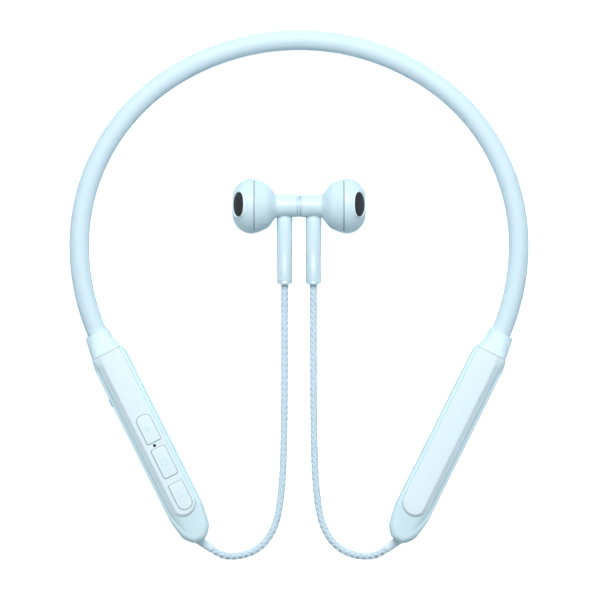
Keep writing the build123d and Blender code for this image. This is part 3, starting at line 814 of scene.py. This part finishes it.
FACE_CORNERS = [(0.04, 0), (0.04, 3.22), (0.66, 3.22), (0.66, 0)]
FACE_RADII = (0.18, 0.1)
NECK_R = 3.3
NECK_LIP = [(0.62, 3.05), (0.72, NECK_R), (0.78, 3.36), (0.9, 3.36), (0.95, NECK_R)]
REAR_END, GROOVE_END = 13.27, 13.62  # the rear shell's edge, and the floor of the groove behind it
REAR_CORNERS = [(0.95, NECK_R), (6.9, NECK_R), (9.3, 6.65), (REAR_END, 8.26)]
REAR_RADII = (1.5, 4.2)
REAR_GROOVE = [(REAR_END, 7.7), (GROOVE_END, 7.7)]
REAR_INSIDE = [(GROOVE_END, 7.3), (12.2, 7.0), (7.6, 3.6), (6.9, 2.5), (0.62, 2.5)]

FRONT_START = 13.53
FRONT_OUTSIDE = [(FRONT_START, 7.8), (FRONT_START, 8.28), (14.0, HEAD_R)]
FRONT_INSIDE_END = [(13.75, 7.42), (13.75, 7.8)]
DOME_CENTRE, DOME_R = (14.0, 2.3), 6.0
HEAD_WALL = 0.9
TIP_OUTSIDE, TIP_INSIDE = (1.1, 0.0), (0.0, 2.0)  # radii on the flat tip

GRILLE_LEAN = math.radians(45)
GRILLE_MIDDLE = (14.1, -0.02, 2.25)  # the head's middle behind the grille
GRILLE_OUT = 5.75
GRILLE_WAY = (0.995, -0.095)  # the grille's long way, in y and z
OVAL_POWER, OVAL_POINTS = 2.2, 64
HEAD_CURVE_LONG, HEAD_CURVE_SHORT = 15.4, 10.0

# Ovals as length, width and distance out; the rim's are how much larger than RIM_OVAL, and distance out.
CUT_ROWS = ((7.5, 4.6, -3.0), (7.5, 4.6, 2.0))
MESH_ROWS = ((7.35, 4.45, -0.4), (7.35, 4.45, 0.0), (6.2, 3.0, 0.08), (3.4, 0.9, 0.1))
RIM_OVAL = (7.4, 4.5)
RIM_ROWS = ((0.0, -0.3), (0.0, 0.27), (0.12, 0.39), (0.35, 0.43), (0.55, 0.36), (0.68, 0.1), (0.7, -0.3))

# The stem's profiles: (down from the head's middle, out from the stem's axis).
STEM_R = 2.31
STEM_BAR = [
    (2.2, 1.9), (2.4, 2.02), (3.35, 2.05), (3.42, 2.2), (3.6, STEM_R),
    (STEM_LENGTH - 1.5, STEM_R), (STEM_LENGTH - 1.36, 2.28), (STEM_LENGTH - 1.28, 2.2),
]
STEM_END = [
    (STEM_LENGTH - 1.3, 2.1), (STEM_LENGTH - 1.24, 2.2), (STEM_LENGTH - 1.14, 2.3),
    (STEM_LENGTH - 0.3, STEM_R), (STEM_LENGTH - 0.1, 2.26), (STEM_LENGTH, 2.12),
    (STEM_LENGTH, 1.2), (STEM_LENGTH - 0.6, 1.15),
]


def turned(name, profile, side):
    """A closed piece of revolution round the earbud's axis."""
    verts = []
    for i in range(TURN_STEPS):
        angle = 2 * math.pi * i / TURN_STEPS
        for along, out in map(Vector, profile):
            verts.append(EARBUD_CENTRE + Vector((
                along * SIDES[side], out * math.cos(angle), out * math.sin(angle)
            )))
    piece = new_mesh(name, verts, skin_faces(TURN_STEPS, len(profile), closed=True))
    tidy_mesh(piece, merge=True)
    return piece


def magnet_face(side):
    """The round metal end of the neck, which meets the other earbud's."""
    profile = rounded_line(FACE_CORNERS, FACE_RADII, 5)
    piece = turned(f"{side}_magnet_face", profile, side)
    fit(piece, "magnet_metal", f"{side}_earbud", f"{side}_magnet_cap")


def rear_shell(side):
    """The neck and the rear of the head, with a groove where the front shell starts."""
    outer = NECK_LIP + rounded_line(REAR_CORNERS, REAR_RADII, 10)
    piece = turned(f"{side}_rear_case", outer + REAR_GROOVE + REAR_INSIDE, side)
    fit(piece, "head_plastic", f"{side}_earbud", f"{side}_rear_shell")
    # The groove's floor and the faces past the rear shell's edge get the darker blue: painted shade in the
    # gap between the shells.
    piece.data.materials.append(SEAM_SHADE)
    past_edge = (REAR_END + 0.01) * MM
    for face in piece.data.polygons:
        if abs(face.center.x) > past_edge:
            face.material_index = 1


def grille_frame(side):
    """The grille's middle, its long way, its short way and its normal."""
    along_y, along_z = GRILLE_WAY
    normal = Vector((
        math.cos(GRILLE_LEAN) * SIDES[side], -along_z * math.sin(GRILLE_LEAN), along_y * math.sin(GRILLE_LEAN)
    )).normalized()
    long_way = Vector((0, along_y, along_z))
    long_way = (long_way - normal * long_way.dot(normal)).normalized()
    short_way = normal.cross(long_way)
    x, y, z = GRILLE_MIDDLE
    centre = EARBUD_CENTRE + Vector((x * SIDES[side], y, z)) + normal * GRILLE_OUT
    return centre, long_way, short_way, normal


def oval(side, length, width, out, domed=True):
    """A rounded oval round the grille, moved out along its normal; domed follows the head's curve."""
    centre, long_way, short_way, normal = grille_frame(side)
    ring = []
    for i in range(OVAL_POINTS):
        angle = 2 * math.pi * i / OVAL_POINTS
        c, s = math.cos(angle), math.sin(angle)
        a = math.copysign(abs(c) ** (2 / OVAL_POWER), c) * length / 2
        b = math.copysign(abs(s) ** (2 / OVAL_POWER), s) * width / 2
        drop = a * a / (2 * HEAD_CURVE_LONG) + b * b / (2 * HEAD_CURVE_SHORT) if domed else 0.0
        ring.append(centre + long_way * a + short_way * b + normal * (out - drop))
    return ring


def dome(radius, start, end, steps):
    """An arc of the front shell's rounded part, between two angles from the earbud's axis."""
    along, out = DOME_CENTRE
    angles = np.linspace(start, end, steps)[1:]
    return [(along + radius * math.cos(a), out + radius * math.sin(a)) for a in angles]


def front_shell(side):
    """The front of the head, with its grille in a thin raised rim."""
    side_on = math.pi / 2
    tip = DOME_CENTRE[0] + DOME_R
    outside = FRONT_OUTSIDE + dome(DOME_R, side_on, 0, 22) + [(tip, r) for r in TIP_OUTSIDE]
    inside = [(tip - HEAD_WALL, r) for r in TIP_INSIDE]
    inside += dome(DOME_R - HEAD_WALL, 0, side_on, 12) + FRONT_INSIDE_END
    piece = turned(f"{side}_front_case", outside + inside, side)
    cut(piece, [ringed("cutter", [oval(side, *sizes, domed=False) for sizes in CUT_ROWS])])
    fit(piece, "head_plastic", f"{side}_earbud", f"{side}_front_shell")

    length, width = RIM_OVAL
    loops = [oval(side, length + size, width + size, out) for size, out in RIM_ROWS]
    rim = ringed(f"{side}_grille_rim", loops + loops[:1], first=False, last=False)
    fit(rim, "deck_plastic", f"{side}_earbud")

    loops = [oval(side, *sizes) for sizes in MESH_ROWS]
    fit(ringed(f"{side}_grille_mesh", loops), "grille_mesh", f"{side}_earbud", f"{side}_grille")


def stem_piece(name, profile, side):
    """A piece turned round the stem's axis."""
    foot = EARBUD_CENTRE + Vector((STEM_CENTRE * SIDES[side], 0, 0))
    across = Vector((1, 0, 0))
    other = STEM_WAY.cross(across)
    loops = []
    for down, out in profile:
        loops.append([foot + STEM_WAY * down + across * x + other * y for x, y in circle(out, 64)])
    return ringed(f"{side}_{name}", loops)


def stem(side):
    """The stem with its narrow root in the neck, and the metal ring at its end."""
    fit(stem_piece("stem_bar", STEM_BAR, side), "stem_plastic", f"{side}_earbud", f"{side}_stem_tube")
    fit(stem_piece("stem_end", STEM_END, side), "ring_metal", f"{side}_earbud", f"{side}_stem_ring")


for side in SIDES:
    braided_cord(side)
    neckband_half(side)
    pod(side)
    collar(side)
    magnet_face(side)
    rear_shell(side)
    front_shell(side)
    stem(side)
for key in KEYS:
    key_cap(key, "left")


# ---- table, light and camera: in metres, apart from the table's own mesh --------------------------
TABLE_HALF, TABLE_Z = 900, -0.05
TABLE_COLOUR, TABLE_GLOW = (0.68, 0.8, 0.86, 1), 0.85
SKY_COLOUR, SKY_STRENGTH = (0.82, 0.93, 1, 1), 0.32
SENSOR = 36
CAMERA_DISTANCE, CAMERA_VIEW = 1.4, 0.18
CAMERA_PLACE = (0.0003, -0.00405, CAMERA_DISTANCE + 0.005)


def table():
    """A white table that lights only itself."""
    half, z = TABLE_HALF, TABLE_Z
    corners = [(-half, -half, z), (half, -half, z), (half, half, z), (-half, half, z)]
    top = new_mesh("table", corners, [(0, 1, 2, 3)])
    made = bpy.data.materials.new("table")
    made.use_nodes = True
    shader = made.node_tree.nodes["Principled BSDF"]
    shader.inputs["Base Color"].default_value = TABLE_COLOUR
    shader.inputs["Roughness"].default_value = 0.9
    shader.inputs["Emission Color"].default_value = (1, 1, 1, 1)
    shader.inputs["Emission Strength"].default_value = TABLE_GLOW
    top.data.materials.append(made)
    own_light = bpy.data.collections.new("table_light")
    own_light.objects.link(top)
    top.light_linking.receiver_collection = own_light


def area_light(name, place, size, power):
    """A soft light that looks at the object."""
    lamp = bpy.data.lights.new(name, "AREA")
    lamp.shape = "RECTANGLE"
    lamp.size, lamp.size_y = size
    lamp.energy = power
    holder = bpy.data.objects.new(name, lamp)
    holder.location = place
    holder.rotation_euler = (-Vector(place)).to_track_quat("-Z", "Y").to_euler()
    bpy.context.scene.collection.objects.link(holder)
    return holder


def studio():
    """A pale sky, a big soft light from above, and a narrow one that only the glossy stems catch."""
    world = bpy.data.worlds.new("studio")
    world.use_nodes = True
    sky = world.node_tree.nodes["Background"]
    sky.inputs["Color"].default_value = SKY_COLOUR
    sky.inputs["Strength"].default_value = SKY_STRENGTH
    bpy.context.scene.world = world
    area_light("key_light", place=(0, 0.5, 0.85), size=(0.8, 0.5), power=9.9)
    streak = area_light("streak_light", place=(0, -0.5, 0.9), size=(1.1, 0.16), power=2.2)
    stems = bpy.data.collections.new("stems")
    for side in SIDES:
        for part in ("bar", "end"):
            stems.objects.link(bpy.data.objects[f"{side}_stem_{part}"])
    streak.light_linking.receiver_collection = stems


def camera():
    """A camera straight above, far enough away to see almost no perspective."""
    lens = bpy.data.cameras.new("camera")
    lens.sensor_width = SENSOR
    lens.lens = SENSOR * CAMERA_DISTANCE / CAMERA_VIEW
    holder = bpy.data.objects.new("camera", lens)
    holder.location = CAMERA_PLACE
    bpy.context.scene.collection.objects.link(holder)
    bpy.context.scene.camera = holder


table()
studio()
camera()
bpy.context.scene.view_settings.view_transform = "Standard"
